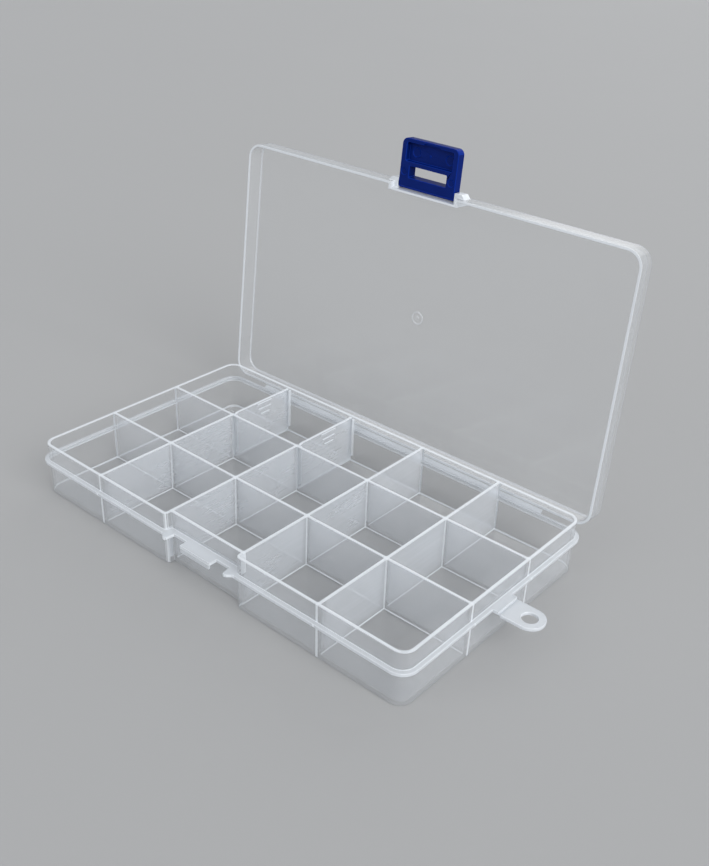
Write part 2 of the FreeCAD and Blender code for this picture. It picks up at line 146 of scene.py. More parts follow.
class StorageBoxSettings(bpy.types.PropertyGroup):
    corner_radius: bpy.props.FloatProperty(
        name="Corner radius", description="Radius of the tray's upright corners",
        default=4.8 * MM, unit="LENGTH")
    edge_radius: bpy.props.FloatProperty(
        name="Edge radius", description="Rounding of every moulded edge",
        default=0.22 * MM, unit="LENGTH")
    draft: bpy.props.FloatProperty(
        name="Draft", description="How far the tray draws in from its rim to its foot",
        default=0.5 * MM, unit="LENGTH")
    milk: bpy.props.FloatVectorProperty(
        name="Milk colour", description="Colour of the haze in the clear plastic",
        default=(0.75, 0.785, 0.825), subtype="COLOR", min=0.0, max=1.0)
    edge_haze: bpy.props.FloatProperty(
        name="Edge haze", description="How milky the rounding of a moulded edge is",
        default=0.7, subtype="FACTOR", min=0.0, max=1.0)
    solid_haze: bpy.props.FloatProperty(
        name="Solid haze", description="How milky one face of the ledge, the catch or the hang tab is",
        default=0.55, subtype="FACTOR", min=0.0, max=1.0)
    wall_haze: bpy.props.FloatProperty(
        name="Wall haze", description="How milky one matt face of a partition is",
        default=0.3, subtype="FACTOR", min=0.0, max=1.0)
    outer_haze: bpy.props.FloatProperty(
        name="Outer wall haze", description="How milky one face of the front and right walls is",
        default=0.14, subtype="FACTOR", min=0.0, max=1.0)
    skirt_haze: bpy.props.FloatProperty(
        name="Skirt haze", description="How milky one face of the lid's skirt is",
        default=0.08, subtype="FACTOR", min=0.0, max=1.0)
    panel_haze: bpy.props.FloatProperty(
        name="Panel haze", description="How milky one polished face of the lid or floor is",
        default=0.035, subtype="FACTOR", min=0.0, max=1.0)
    latch_blue: bpy.props.FloatVectorProperty(
        name="Latch blue", description="Colour of the latch",
        default=(0.0002, 0.009, 0.1), subtype="COLOR", min=0.0, max=1.0)
    floor_grey: bpy.props.FloatProperty(
        name="Floor grey", description="Lightness of the floor under the box",
        default=0.38, subtype="FACTOR", min=0.0, max=1.0)


def settings():
    return bpy.context.scene.storage_box


# Shaping by hand

def pick(*pieces):
    """Select these pieces alone, with the first one active."""
    bpy.ops.object.select_all(action="DESELECT")
    for piece in pieces:
        piece.select_set(True)
    bpy.context.view_layer.objects.active = pieces[0]


@contextmanager
def editing(piece, kind):
    """Edit mode on one piece, with nothing selected yet."""
    pick(piece)
    bpy.ops.object.mode_set(mode="EDIT")
    bpy.ops.mesh.select_mode(type=kind)
    bpy.ops.mesh.select_all(action="DESELECT")
    yield
    bpy.ops.object.mode_set(mode="OBJECT")


def choose(piece, kind, test):
    """In edit mode, select the faces, edges or corners that pass the test."""
    mesh = bmesh.from_edit_mesh(piece.data)
    found = 0
    for item in {"FACE": mesh.faces, "EDGE": mesh.edges, "VERT": mesh.verts}[kind]:
        hit = bool(test(item))
        item.select_set(hit)
        found += hit
    if not found:
        raise RuntimeError(f"nothing on {piece.name} fits what is to be shaped")
    mesh.select_flush_mode()
    bmesh.update_edit_mesh(piece.data)


def settle(piece):
    """Keep the piece's place in its mesh."""
    pick(piece)
    bpy.ops.object.transform_apply(location=True, rotation=True, scale=True)
    return piece


def block(name, low, high):
    low = Vector(low)
    high = Vector(high)
    bpy.ops.object.select_all(action="DESELECT")
    bpy.ops.mesh.primitive_cube_add(size=1, location=(low + high) / 2, scale=high - low)
    piece = bpy.context.object
    piece.name = name
    return settle(piece)


def plate(name, outline, low, high):
    """A flat plate whose outline is drawn point by point and then raised."""
    bpy.ops.object.select_all(action="DESELECT")
    bpy.ops.mesh.primitive_plane_add(size=MM, location=(*outline[0], low))
    piece = bpy.context.object
    piece.name = name
    settle(piece)
    with editing(piece, "VERT"):
        bpy.ops.mesh.select_all(action="SELECT")
        bpy.ops.mesh.merge(type="CENTER")
        for start, end in zip(outline, outline[1:]):
            step = (end[0] - start[0], end[1] - start[1], 0)
            bpy.ops.mesh.extrude_vertices_move(TRANSFORM_OT_translate={"value": step})
        bpy.ops.mesh.select_all(action="SELECT")
        bpy.ops.mesh.edge_face_add()
        bpy.ops.mesh.extrude_region_move(TRANSFORM_OT_translate={"value": (0, 0, high - low)})
        bpy.ops.mesh.select_all(action="SELECT")
        bpy.ops.mesh.normals_make_consistent(inside=False)
    return piece


def rod(name, start, end, radius, sides=32):
    """A round bar between two places."""
    start = Vector(start)
    end = Vector(end)
    axis = end - start
    bpy.ops.object.select_all(action="DESELECT")
    bpy.ops.mesh.primitive_cylinder_add(
        vertices=sides, radius=radius, depth=axis.length, location=(start + end) / 2,
        rotation=axis.to_track_quat("Z", "Y").to_euler())
    piece = bpy.context.object
    piece.name = name
    return settle(piece)


def upright(edge):
    start, end = (vertex.co for vertex in edge.verts)
    return abs(start.x - end.x) < SNUG and abs(start.y - end.y) < SNUG


def at_corner(edge, corners):
    place = edge.verts[0].co
    return any(abs(place.x - x) < SNUG and abs(place.y - y) < SNUG for x, y in corners)


def at_level(item, level):
    return all(abs(vertex.co.z - level) < SNUG for vertex in item.verts)


def bevel_edges(piece, test, radius, segments):
    with editing(piece, "EDGE"):
        choose(piece, "EDGE", test)
        bpy.ops.mesh.bevel(offset_type="OFFSET", offset=radius, segments=segments, profile=0.5,
                           affect="EDGES")


def round_upright(piece, corners, radius, segments):
    bevel_edges(piece, lambda edge: upright(edge) and at_corner(edge, corners), radius, segments)


def round_level(piece, level, radius, segments):
    bevel_edges(piece, lambda edge: at_level(edge, level), radius, segments)


def draw_in(piece, level, inset):
    """Moulding draft: the outline at one level is drawn in by the inset on each side."""
    low, high = extent(piece)
    size = high - low
    scale = ((size.x - 2 * inset) / size.x, (size.y - 2 * inset) / size.y, 1)
    with editing(piece, "VERT"):
        choose(piece, "VERT", lambda vertex: abs(vertex.co.z - level) < SNUG)
        bpy.ops.transform.resize(value=scale, center_override=(low + high) / 2)


def extent(piece):
    places = [vertex.co for vertex in piece.data.vertices]
    low = Vector([min(place[axis] for place in places) for axis in range(3)])
    high = Vector([max(place[axis] for place in places) for axis in range(3)])
    return low, high


def slice_off(piece, place, normal):
    """Cut the piece at a plane and close it. What lies on the normal's side goes."""
    with editing(piece, "VERT"):
        bpy.ops.mesh.select_all(action="SELECT")
        bpy.ops.mesh.bisect(plane_co=place, plane_no=normal, use_fill=True, clear_outer=True)


def score(piece, axis, places):
    """Divide the piece's faces along planes across one axis."""
    normal = [float(number == axis) for number in range(3)]
    with editing(piece, "VERT"):
        for place in places:
            bpy.ops.mesh.select_all(action="SELECT")
            bpy.ops.mesh.bisect(plane_co=[place * part for part in normal], plane_no=normal)


def combine(piece, other, operation):
    pick(piece)
    bpy.ops.object.modifier_add(type="BOOLEAN")
    modifier = piece.modifiers[-1]
    modifier.operation = operation
    modifier.solver = "EXACT"
    modifier.object = other
    bpy.ops.object.modifier_apply(modifier=modifier.name)
    bpy.data.objects.remove(other)
    return piece


def carve(piece, *cutters):
    """Take away cutters, which must not touch each other."""
    pick(*cutters)
    if len(cutters) > 1:
        bpy.ops.object.join()
    return combine(piece, cutters[0], "DIFFERENCE")


def unite(piece, *parts):
    for part in parts:
        combine(piece, part, "UNION")
    return piece


def clean(piece):
    with editing(piece, "VERT"):
        bpy.ops.mesh.select_all(action="SELECT")
        bpy.ops.mesh.remove_doubles(threshold=1e-6)
        bpy.ops.mesh.dissolve_degenerate(threshold=1e-6)
        bpy.ops.mesh.select_all(action="SELECT")
        bpy.ops.mesh.delete_loose()


def soften(piece, radius, segments=2, angle=35):
    """Round every sharp edge a little and shade the piece smooth."""
    clean(piece)
    pick(piece)
    bpy.ops.object.modifier_add(type="BEVEL")
    modifier = piece.modifiers[-1]
    modifier.width = radius
    modifier.segments = segments
    modifier.limit_method = "ANGLE"
    modifier.angle_limit = math.radians(angle)
    modifier.miter_outer = "MITER_ARC"
    modifier.use_clamp_overlap = False
    bpy.ops.object.modifier_apply(modifier=modifier.name)
    clean(piece)
    bpy.ops.object.shade_smooth_by_angle(angle=math.radians(angle))


def flatten_shading(piece):
    """Let the large faces decide the shading, so that flat ones look flat up to their rounded edges."""
    pick(piece)
    bpy.ops.object.modifier_add(type="WEIGHTED_NORMAL")
    modifier = piece.modifiers[-1]
    modifier.keep_sharp = True
    bpy.ops.object.modifier_apply(modifier=modifier.name)


def swing_open(piece):
    """Turn a piece of the shut lid about the film hinge to where it stands open."""
    pick(piece)
    piece.data.transform(OPEN)
    piece.data.update()
    return piece


# How deep and how milky the plastic is at each face

DEEPEST = 8 * MM
SLANTED_RAYS = 8
ROUNDED = (0.25, 0.97)  # between these, a face that leans this much is on a rounded edge


def middles(mesh):
    """A place well inside each face: the middle of its largest triangle."""
    mesh.calc_loop_triangles()
    largest = {}
    for triangle in mesh.loop_triangles:
        kept = largest.get(triangle.polygon_index)
        if kept is None or triangle.area > kept.area:
            largest[triangle.polygon_index] = triangle
    places = {}
    for number, triangle in largest.items():
        corners = [mesh.vertices[corner].co for corner in triangle.vertices]
        places[number] = (corners[0] + corners[1] + corners[2]) / 3
    return places


def way_through(surface, place, ray):
    distance = surface.ray_cast(place, ray, DEEPEST)[3]
    return DEEPEST if distance is None else distance


def rounded(normal):
    return ROUNDED[0] < abs(normal.z) < ROUNDED[1]


def even_haze(share):
    """The same haze on every flat face of a piece, and the edge haze on its rounded edges."""
    return lambda place, normal: settings().edge_haze if rounded(normal) else share


def measure_haze(piece, own_haze):
    """Keep on every face how deep the plastic is below it, and how milky the face itself is.

    A face that rests on the table counts as thin, because no light is led to it.
    """
    mesh = piece.data
    surface = BVHTree.FromPolygons([vertex.co for vertex in mesh.vertices],
                                   [face.vertices for face in mesh.polygons])
    places = middles(mesh)
    depths = []
    hazes = []
    for face in mesh.polygons:
        inward = -face.normal
        place = places[face.index]
        start = place + inward * SNUG
        across = inward.orthogonal().normalized()
        along = inward.cross(across)
        slanted = 0.0
        for number in range(SLANTED_RAYS):
            turn = math.tau * number / SLANTED_RAYS
            ray = inward + math.cos(turn) * across + math.sin(turn) * along
            slanted += way_through(surface, start, ray.normalized()) / SLANTED_RAYS
        on_table = place.z < SNUG
        depths.append(0.0 if on_table else (way_through(surface, start, inward) + 2 * slanted) / 3)
        hazes.append(own_haze(place, face.normal))
    for name, values in (("depth", depths), ("haze", hazes)):
        attribute = mesh.attributes.new(name, "FLOAT", "FACE")
        attribute.data.foreach_set("value", values)


# Materials

class Signal:
    """A value inside a material that can be used in sums."""

    def __init__(self, finish, socket):
        self.finish = finish
        self.socket = socket

    def sum(self, operation, *values):
        inputs = dict(enumerate(values))
        return self.finish.node("ShaderNodeMath", {"operation": operation}, inputs)

    def __add__(self, other):
        return self.sum("ADD", self, other)

    def __sub__(self, other):
        return self.sum("SUBTRACT", self, other)

    def __mul__(self, other):
        return self.sum("MULTIPLY", self, other)

    def __pow__(self, other):
        return self.sum("POWER", self, other)

    def __rsub__(self, other):
        return self.sum("SUBTRACT", other, self)

    __radd__ = __add__
    __rmul__ = __mul__

    def exponent(self):
        return self.sum("EXPONENT", self)

    def at_least(self, other):
        return self.sum("MAXIMUM", self, other)

    def at_most(self, other):
        return self.sum("MINIMUM", self, other)


class Finish:
    """A material while its nodes are put together."""

    def __init__(self, name):
        self.material = bpy.data.materials.new(name)
        self.material.use_nodes = True
        self.tree = self.material.node_tree
        self.tree.nodes.clear()

    def node(self, kind, choices=None, inputs=None, output=0):
        """Add a node with its choices set first and then its inputs, and return one output."""
        made = self.tree.nodes.new(kind)
        for name, choice in (choices or {}).items():
            if name == "stops":
                ramp = made.color_ramp.elements
                for number, (place, grey) in enumerate(choice):
                    stop = ramp[number] if number < len(ramp) else ramp.new(place)
                    stop.position = place
                    stop.color = (grey, grey, grey, 1)
            else:
                setattr(made, name, choice)
        for name, value in (inputs or {}).items():
            if isinstance(value, Signal):
                self.tree.links.new(value.socket, made.inputs[name])
            else:
                made.inputs[name].default_value = value
        return Signal(self, made.outputs[output])

    def place(self, scale=(1, 1, 1)):
        where = self.node("ShaderNodeTexCoord", output="Object")
        return self.node("ShaderNodeMapping", None, {"Vector": where, "Scale": scale})

    def noise(self, where, scale, detail=2.0, roughness=0.5):
        inputs = {"Vector": where, "Scale": scale, "Detail": detail, "Roughness": roughness}
        return self.node("ShaderNodeTexNoise", None, inputs, "Fac")

    def attribute(self, name):
        return self.node("ShaderNodeAttribute", {"attribute_name": name}, output="Fac")

    def colour(self, share, first, second):
        """A colour between two, by a share from 0 to 1."""
        made = self.tree.nodes.new("ShaderNodeMix")
        made.data_type = "RGBA"
        self.tree.links.new(share.socket, made.inputs["Factor"])
        made.inputs[6].default_value = (*first, 1)
        made.inputs[7].default_value = (*second, 1)
        return Signal(self, made.outputs[2])

    def bump(self, height, strength, distance):
        inputs = {"Height": height, "Strength": strength, "Distance": distance}
        return self.node("ShaderNodeBump", None, inputs, "Normal")

    def done(self, shader):
        self.node_output = self.tree.nodes.new("ShaderNodeOutputMaterial")
        self.tree.links.new(shader.socket, self.node_output.inputs["Surface"])
        return self.material


HEAD_ON_GLOSS = 0.045
GLOSS_REACH = 0.9
CLEAR_DEPTH = 2.2 * MM  # plastic up to this deep stays clear
HAZE_DEPTH = 1.2 * MM  # how much deeper it gets mostly white


def clear_plastic():
    """Natural polypropylene: polished panels, matt walls, and white edges where the plastic is deep."""
    finish = Finish("clear_plastic_finish")
    chosen = settings()
    where = finish.place()
    cloud = finish.noise(where, 45.0, 3.0)
    grain = finish.noise(where, 2600.0, 1.0)
    streak = finish.noise(finish.place((0.03, 0.03, 1)), 900.0, 2.0)
    own = finish.attribute("haze")
    depth = finish.attribute("depth")
    facing = finish.node("ShaderNodeLayerWeight", None, {"Blend": 0.5}, "Facing")
    surface = own * (0.8 + 0.25 * cloud + 0.15 * streak)
    clear = (-1.0 / HAZE_DEPTH) * (depth - CLEAR_DEPTH).at_least(0.0)
    haze = 1.0 - (1.0 - surface) * clear.exponent()
    haze = haze + (1.0 - haze) * facing ** 4.0 * (0.35 + own)
    tint = finish.colour(cloud, chosen.milk, [part * 0.95 for part in chosen.milk])
    skin = finish.bump(grain * own, 0.08, 0.02 * MM)
    milky = finish.node("ShaderNodeBsdfPrincipled", None, {
        "Base Color": tint, "Roughness": 0.35, "IOR": 1.49, "Alpha": haze.at_most(0.97), "Normal": skin})
    gloss = finish.node("ShaderNodeBsdfGlossy", None, {"Roughness": 0.12, "Normal": skin}, "BSDF")
    shine = HEAD_ON_GLOSS + (GLOSS_REACH - HEAD_ON_GLOSS) * facing ** 5.0
    shader = finish.node("ShaderNodeMixShader", None, {0: shine, 1: milky, 2: gloss})
    return finish.done(shader)


def blue_plastic():
    """Satin blue polypropylene, paler in random patches, with a painted highlight of paler blue on its rounded
    edges.
    """
    finish = Finish("blue_plastic_finish")
    chosen = settings()
    where = finish.place()
    cloud = finish.noise(where, 120.0, 4.0)
    grain = finish.noise(where, 3200.0, 2.0)
    # Painted highlight: faces marked by the edge attribute, the rounded edges, get the paler blue; the noise
    # adds random paler patches.
    patchy_tone_and_painted_highlight = (0.4 * cloud + 0.6 * finish.attribute("edge")).at_most(1.0)
    blue = finish.colour(patchy_tone_and_painted_highlight, chosen.latch_blue, [part * 2.6 + 0.001 for part in chosen.latch_blue])
    skin = finish.bump(grain, 0.2, 0.02 * MM)
    shader = finish.node("ShaderNodeBsdfPrincipled", None, {
        "Base Color": blue, "Roughness": 0.38 + 0.2 * cloud, "IOR": 1.49, "Specular IOR Level": 0.08,
        "Normal": skin})
    return finish.done(shader)


def floor_finish():
    finish = Finish("plain_floor_finish")
    chosen = settings()
    grain = finish.noise(finish.place(), 6.0, 2.0)
    grey = chosen.floor_grey
    tone = finish.colour(grain, (grey, grey, grey), (grey * 0.98, grey * 0.98, grey * 0.98))
    shader = finish.node("ShaderNodeBsdfPrincipled", None, {"Base Color": tone, "Roughness": 0.7})
    return finish.done(shader)


def material(slot):
    """The finish of a slot, made the first time that it is asked for."""
    makers = {"clear_plastic": clear_plastic, "blue_plastic": blue_plastic, "plain_floor": floor_finish}
    return bpy.data.materials.get(slot + "_finish") or makers[slot]()


def hand_over(piece, body, finish, *nodes):
    """Give the piece its material and its body, and let it stand for its nodes."""
    piece.data.materials.clear()
    piece.data.materials.append(material(finish))
    flatten_shading(piece)
    if body:
        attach(piece, body)
    if nodes:
        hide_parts(*nodes)


# Tray

COLUMN_FACES = [-INNER_X, *(end.x for wall in COLUMN_WALLS for end in wall), INNER_X]
ROW_FACES = [-INNER_Y, *(end.y for wall in ROW_WALLS for end in wall), INNER_Y]
COLUMNS = list(zip(COLUMN_FACES[::2], COLUMN_FACES[1::2]))
ROWS = list(zip(ROW_FACES[::2], ROW_FACES[1::2]))
FRONT, MIDDLE, REAR = range(3)
RECESS_COLUMN = 2
OPEN_REAR_COLUMNS = 3  # these share one long compartment, which the loose dividers part
RECESS_CORNER = 1.8 * MM
FOOT_RADIUS = 0.5 * MM


def compartments():
    """The space of each moulded compartment as an (x, x, y, y) rectangle."""
    spaces = []
    for row, (near, far) in enumerate(ROWS):
        for column, (left, right) in enumerate(COLUMNS):
            start = near
            if row == FRONT and column == RECESS_COLUMN:
                start = RECESS_WALL[1].y
            if row == REAR and column < OPEN_REAR_COLUMNS:
                if column:
                    continue
                right = COLUMNS[OPEN_REAR_COLUMNS - 1][1]
            spaces.append((left, right, start, far))
    return spaces


def compartment_cutter(left, right, near, far):
    cutter = block("cutter", (left, near, FLOOR_TOP), (right, far, RIM_TOP + ROOM))
    corners = [(x, y) for x in (left, right) for y in (near, far)]
    outer = [(x, y) for x, y in corners if abs(x) > INNER_X - SNUG and abs(y) > INNER_Y - SNUG]
    inner = [corner for corner in corners if corner not in outer]
    if outer:
        wall = HALF_X - INNER_X
        round_upright(cutter, outer, settings().corner_radius - wall, 8)
    round_upright(cutter, inner, 0.3 * MM, 2)
    draw_in(cutter, FLOOR_TOP, 0.12 * MM)
    round_level(cutter, FLOOR_TOP, 0.3 * MM, 2)
    return cutter


def tray_shell():
    chosen = settings()
    shell = block("tray_moulding", (-HALF_X, -HALF_Y, 0), (HALF_X, HALF_Y, RIM_TOP))
    recess_x = RECESS_WALL[1].x
    recess = block("cutter", (-recess_x, -HALF_Y - ROOM, -ROOM), (recess_x, RECESS_WALL[0].y, RIM_TOP + ROOM))
    carve(shell, recess)
    outer = [(x, y) for x in (-HALF_X, HALF_X) for y in (-HALF_Y, HALF_Y)]
    round_upright(shell, outer, chosen.corner_radius, 10)
    round_upright(shell, [(-recess_x, -HALF_Y), (recess_x, -HALF_Y)], RECESS_CORNER, 5)
    draw_in(shell, 0, chosen.draft)
    round_level(shell, 0, FOOT_RADIUS, 4)
    return shell


STOP_TIP = (1.7 * MM, 2.9 * MM)  # where a stop's front edge starts and ends, from the recess corner
CATCH_LIP = 0.9 * MM
WELD = 0.4 * MM  # how far a part that is united reaches into its neighbour


def ledge_plate():
    """The ledge round the tray in one plate, with the horns beside the recess, the catch and the tab's root."""
    corner = RECESS_WALL[1].x
    right_front = [
        (CATCH[1].x, CATCH[0].y),
        (CATCH[1].x, RECESS_LEDGE[0].y),
        (RECESS_LEDGE[1].x, RECESS_LEDGE[0].y),
        (corner - STOP_TIP[1], STOP_FRONT),
        (corner - STOP_TIP[0], STOP_FRONT),
        (corner, -LEDGE_Y),
        (LEDGE_X, -LEDGE_Y),
    ]
    left_front = [(-x, y) for x, y in reversed(right_front)]
    root = [
        (LEDGE_X, TAB_ROOT[0].y),
        (TAB_ROOT[1].x, TAB_ROOT[0].y),
        (TAB_ROOT[1].x, TAB_ROOT[1].y),
        (LEDGE_X, TAB_ROOT[1].y),
    ]
    outline = [*left_front, *right_front, *root, (LEDGE_X, LEDGE_Y), (-LEDGE_X, LEDGE_Y)]
    ledge = plate("ledge", outline, LEDGE_UNDER, LEDGE_TOP)
    outer = [(x, y) for x in (-LEDGE_X, LEDGE_X) for y in (-LEDGE_Y, LEDGE_Y)]
    round_upright(ledge, outer, settings().corner_radius + LEDGE_X - HALF_X, 10)
    tips = [(side * (corner - reach), STOP_FRONT) for side in (-1, 1) for reach in STOP_TIP]
    round_upright(ledge, tips, 0.5 * MM, 4)
    round_upright(ledge, [(side * CATCH[1].x, CATCH[0].y) for side in (-1, 1)], 0.4 * MM, 3)
    return ledge


def catch_lip():
    """The turned-down front edge of the catch."""
    return block("lip", (CATCH[0].x + WELD, CATCH[0].y, CATCH[0].z),
                 (CATCH[1].x - WELD, CATCH[0].y + CATCH_LIP, LEDGE_UNDER + WELD))


RIB_NEAR = 0.65 * MM
RIB_FAR = 1.35 * MM
RIB_REACH = 1.2 * MM


def guide_ribs():
    ribs = []
    for number, wall in ((1, COLUMN_WALLS[0]), (2, COLUMN_WALLS[1])):
        low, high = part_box(f"guide_ribs_{number}")
        middle = (wall[0].x + wall[1].x) / 2
        for ends in ((ROW_WALLS[1][1].y - WELD, low.y + RIB_REACH), (high.y - RIB_REACH, INNER_Y + WELD)):
            for side in (-1, 1):
                across = sorted((middle + side * RIB_NEAR, middle + side * RIB_FAR))
                ribs.append(block("rib", (across[0], ends[0], low.z), (across[1], ends[1], high.z)))
    return ribs


SCORE_INSET = 0.1 * MM  # how far inside a wall its faces are scored


def inside_walls(faces):
    """Places just inside the walls, whose faces come in pairs round each row or column."""
    return [face + SCORE_INSET * (1 if number % 2 else -1) for number, face in enumerate(faces)]


class STORAGEBOX_OT_tray(bpy.types.Operator):
    """Model the tray with its partitions, ledge, catch and guide ribs as one moulding"""
    bl_idname = "storage_box.tray"
    bl_label = "Tray"

    def execute(self, context):
        tray = tray_shell()
        unite(tray, ledge_plate(), catch_lip())
        carve(tray, *(compartment_cutter(*space) for space in compartments()))
        unite(tray, *guide_ribs())
        soften(tray, context.scene.storage_box.edge_radius)
        score(tray, 0, inside_walls(COLUMN_FACES))
        score(tray, 1, [*inside_walls(ROW_FACES), RECESS_WALL[1].y - SCORE_INSET])
        score(tray, 2, [LEDGE_UNDER + SCORE_INSET, LEDGE_TOP - SCORE_INSET])
        measure_haze(tray, tray_haze)
        nodes = [name for name in frame["nodes"]
                 if frame["nodes"][name]["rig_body"] == "tray" and name != "hinge_web"]
        hand_over(tray, "tray", "clear_plastic", *nodes)
        return {"FINISHED"}


BESIDE = 0.1 * MM
ROW_WALL_SHADE_SHARE = 0.7  # painted shade: the walls along X get this share of the partitions' milk, to look less lit than those along Y


def tray_haze(place, normal):
    """How milky a face of the tray is: ledge and ribs most, then the partitions, outer walls and floor."""
    chosen = settings()
    if rounded(normal):
        return chosen.edge_haze
    corner = chosen.corner_radius
    past_corner = Vector((max(abs(place.x) - HALF_X + corner, 0), max(abs(place.y) - HALF_Y + corner, 0)))
    behind_wall = corner - past_corner.length
    in_recess = abs(place.x) < RECESS_WALL[1].x - BESIDE and place.y < RECESS_WALL[0].y - BESIDE
    if in_recess or behind_wall < -BESIDE or on_rib(place):
        return chosen.solid_haze
    if place.z < FLOOR_TOP + BESIDE:
        return chosen.panel_haze
    if behind_wall < HALF_X - INNER_X + 3 * BESIDE or place.y < RECESS_WALL[1].y + BESIDE:
        to_clear_wall = min(place.x + HALF_X, HALF_Y - place.y)
        to_milky_wall = min(HALF_X - place.x, place.y + HALF_Y)
        return chosen.panel_haze if to_clear_wall < to_milky_wall else chosen.outer_haze
    # Painted shade: the walls along X get less milk than those along Y, standing for the weaker light on them.
    return chosen.wall_haze if abs(normal.x) > abs(normal.y) else chosen.wall_haze * ROW_WALL_SHADE_SHARE


def on_rib(place):
    """Whether a place is on one of the guide ribs that hold the loose dividers."""
    for wall in COLUMN_WALLS[:2]:
        middle = (wall[0].x + wall[1].x) / 2
        beside = RIB_NEAR - BESIDE < abs(place.x - middle) < RIB_FAR + BESIDE
        at_end = place.y > INNER_Y - RIB_REACH - BESIDE or place.y < ROW_WALLS[1][1].y + RIB_REACH + BESIDE
        if beside and at_end and place.y > ROW_WALLS[1][1].y - BESIDE and place.z > FLOOR_TOP + BESIDE:
            return True
    return False


# Lid

LID_EDGE_RADIUS = 0.9 * MM
PANEL_EDGE_HAZE = 0.2  # the edges round the panel are polished, so they show less than the free ones
EAR_HAZE = 0.85
GATE_RADIUS = 2.5 * MM


def lid_shell():
    chosen = settings()
    low = Vector((LID[0].x, LID[0].y, LID_RIM))
    high = LID[1]
    corner = chosen.corner_radius + LID[1].x - HALF_X
    shell = block("lid_moulding", low, high)
    outer = [(x, y) for x in (low.x, high.x) for y in (low.y, high.y)]
    round_upright(shell, outer, corner, 10)
    round_level(shell, high.z, LID_EDGE_RADIUS, 4)
    inner_low = (low.x + LID_SKIRT, low.y + LID_SKIRT, LID_RIM - ROOM)
    inner_high = (high.x - LID_SKIRT, high.y - LID_SKIRT, LID_UNDER)
    hollow = block("cutter", inner_low, inner_high)
    inner = [(x, y) for x in (inner_low[0], inner_high[0]) for y in (inner_low[1], inner_high[1])]
    round_upright(hollow, inner, corner - LID_SKIRT, 8)
    round_level(hollow, LID_UNDER, LID_EDGE_RADIUS / 2, 3)
    return carve(shell, hollow)


def lid_notch(lid):
    """The bay in the lid's front edge that the latch swings in."""
    side = NOTCH_X + BAY_WALL
    bay = block("bay", (-side, LID[0].y + WELD, LID_RIM), (side, NOTCH[1].y, LID_UNDER + WELD))
    unite(lid, bay)
    cutter = block("cutter", (-NOTCH_X, LID[0].y - ROOM, LID_RIM - ROOM), (NOTCH_X, NOTCH[0].y, LID[1].z + ROOM))
    return carve(lid, cutter)


EAR_FLANK = 1.3 * MM  # how far an ear slopes down beside its pin
BAY_WALL = 1.2 * MM


def lid_ear(side):
    """An ear beside the bay, with a sloping flank and the blind hole for one of the latch's pins."""
    inner = EAR[0].x
    outer = EAR[1].x
    slope = EAR_FLANK / (LID[0].y - EAR[0].y)
    in_wall = NOTCH_X + BAY_WALL / 2
    outline = [
        (inner, EAR[0].y),
        (outer, EAR[0].y),
        (outer + EAR_FLANK + slope * WELD, LID[0].y + WELD),
        (in_wall, LID[0].y + WELD),
        (in_wall, NOTCH[0].y + WELD),
        (inner, NOTCH[0].y + WELD),
    ]
    ear = plate("ear", [(side * x, y) for x, y in outline], EAR[0].z, EAR[1].z)
    hole_end = NOTCH_X - 0.15 * MM
    hole = rod("cutter", (side * (inner - ROOM), PIVOT.y, PIVOT.z), (side * hole_end, PIVOT.y, PIVOT.z), MM)
    return carve(ear, hole)


def gate_ring():
    """The ring left round the injection point, on the side of the panel that faces the tray."""
    middle = Vector((0, (LID[0].y + LID[1].y) / 2, LID_UNDER))
    ring = rod("ring", middle + Vector((0, 0, -0.2 * MM)), middle + Vector((0, 0, WELD)), GATE_RADIUS, 40)
    with editing(ring, "FACE"):
        choose(ring, "FACE", lambda face: face.normal.z < -0.9)
        bpy.ops.mesh.inset(thickness=0.35 * MM)
        bpy.ops.mesh.extrude_region_move(TRANSFORM_OT_translate={"value": (0, 0, 0.19 * MM)})
        bpy.ops.mesh.inset(thickness=1.35 * MM)
        bpy.ops.mesh.extrude_region_move(TRANSFORM_OT_translate={"value": (0, 0, -0.6 * MM)})
        bpy.ops.mesh.inset(thickness=0.3 * MM)
    return ring


class STORAGEBOX_OT_lid(bpy.types.Operator):
    """Model the lid with its rounded skirt, latch bay, ears and gate ring as one moulding"""
    bl_idname = "storage_box.lid"
    bl_label = "Lid"

    def execute(self, context):
        lid = lid_notch(lid_shell())
        unite(lid, lid_ear(-1), lid_ear(1), gate_ring())
        soften(lid, context.scene.storage_box.edge_radius)
        measure_haze(lid, lid_haze)
        swing_open(lid)
        nodes = [name for name in frame["nodes"] if frame["nodes"][name]["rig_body"] == "lid"]
        hand_over(lid, "lid", "clear_plastic", *nodes)
        return {"FINISHED"}


def lid_haze(place, normal):
    """How milky a face of the lid is: the parts round the latch most, and the panel least."""
    chosen = settings()
    if abs(place.x) < EAR[1].x + EAR_FLANK + BESIDE and place.y < NOTCH[1].y + BESIDE:
        return EAR_HAZE
    if rounded(normal):
        return chosen.edge_haze if place.z < LID_RIM + MM else PANEL_EDGE_HAZE
    if abs(normal.z) > 0.9 and place.z > LID_UNDER - MM:
        return chosen.panel_haze
    return chosen.skirt_haze


# Film hinge and fold line

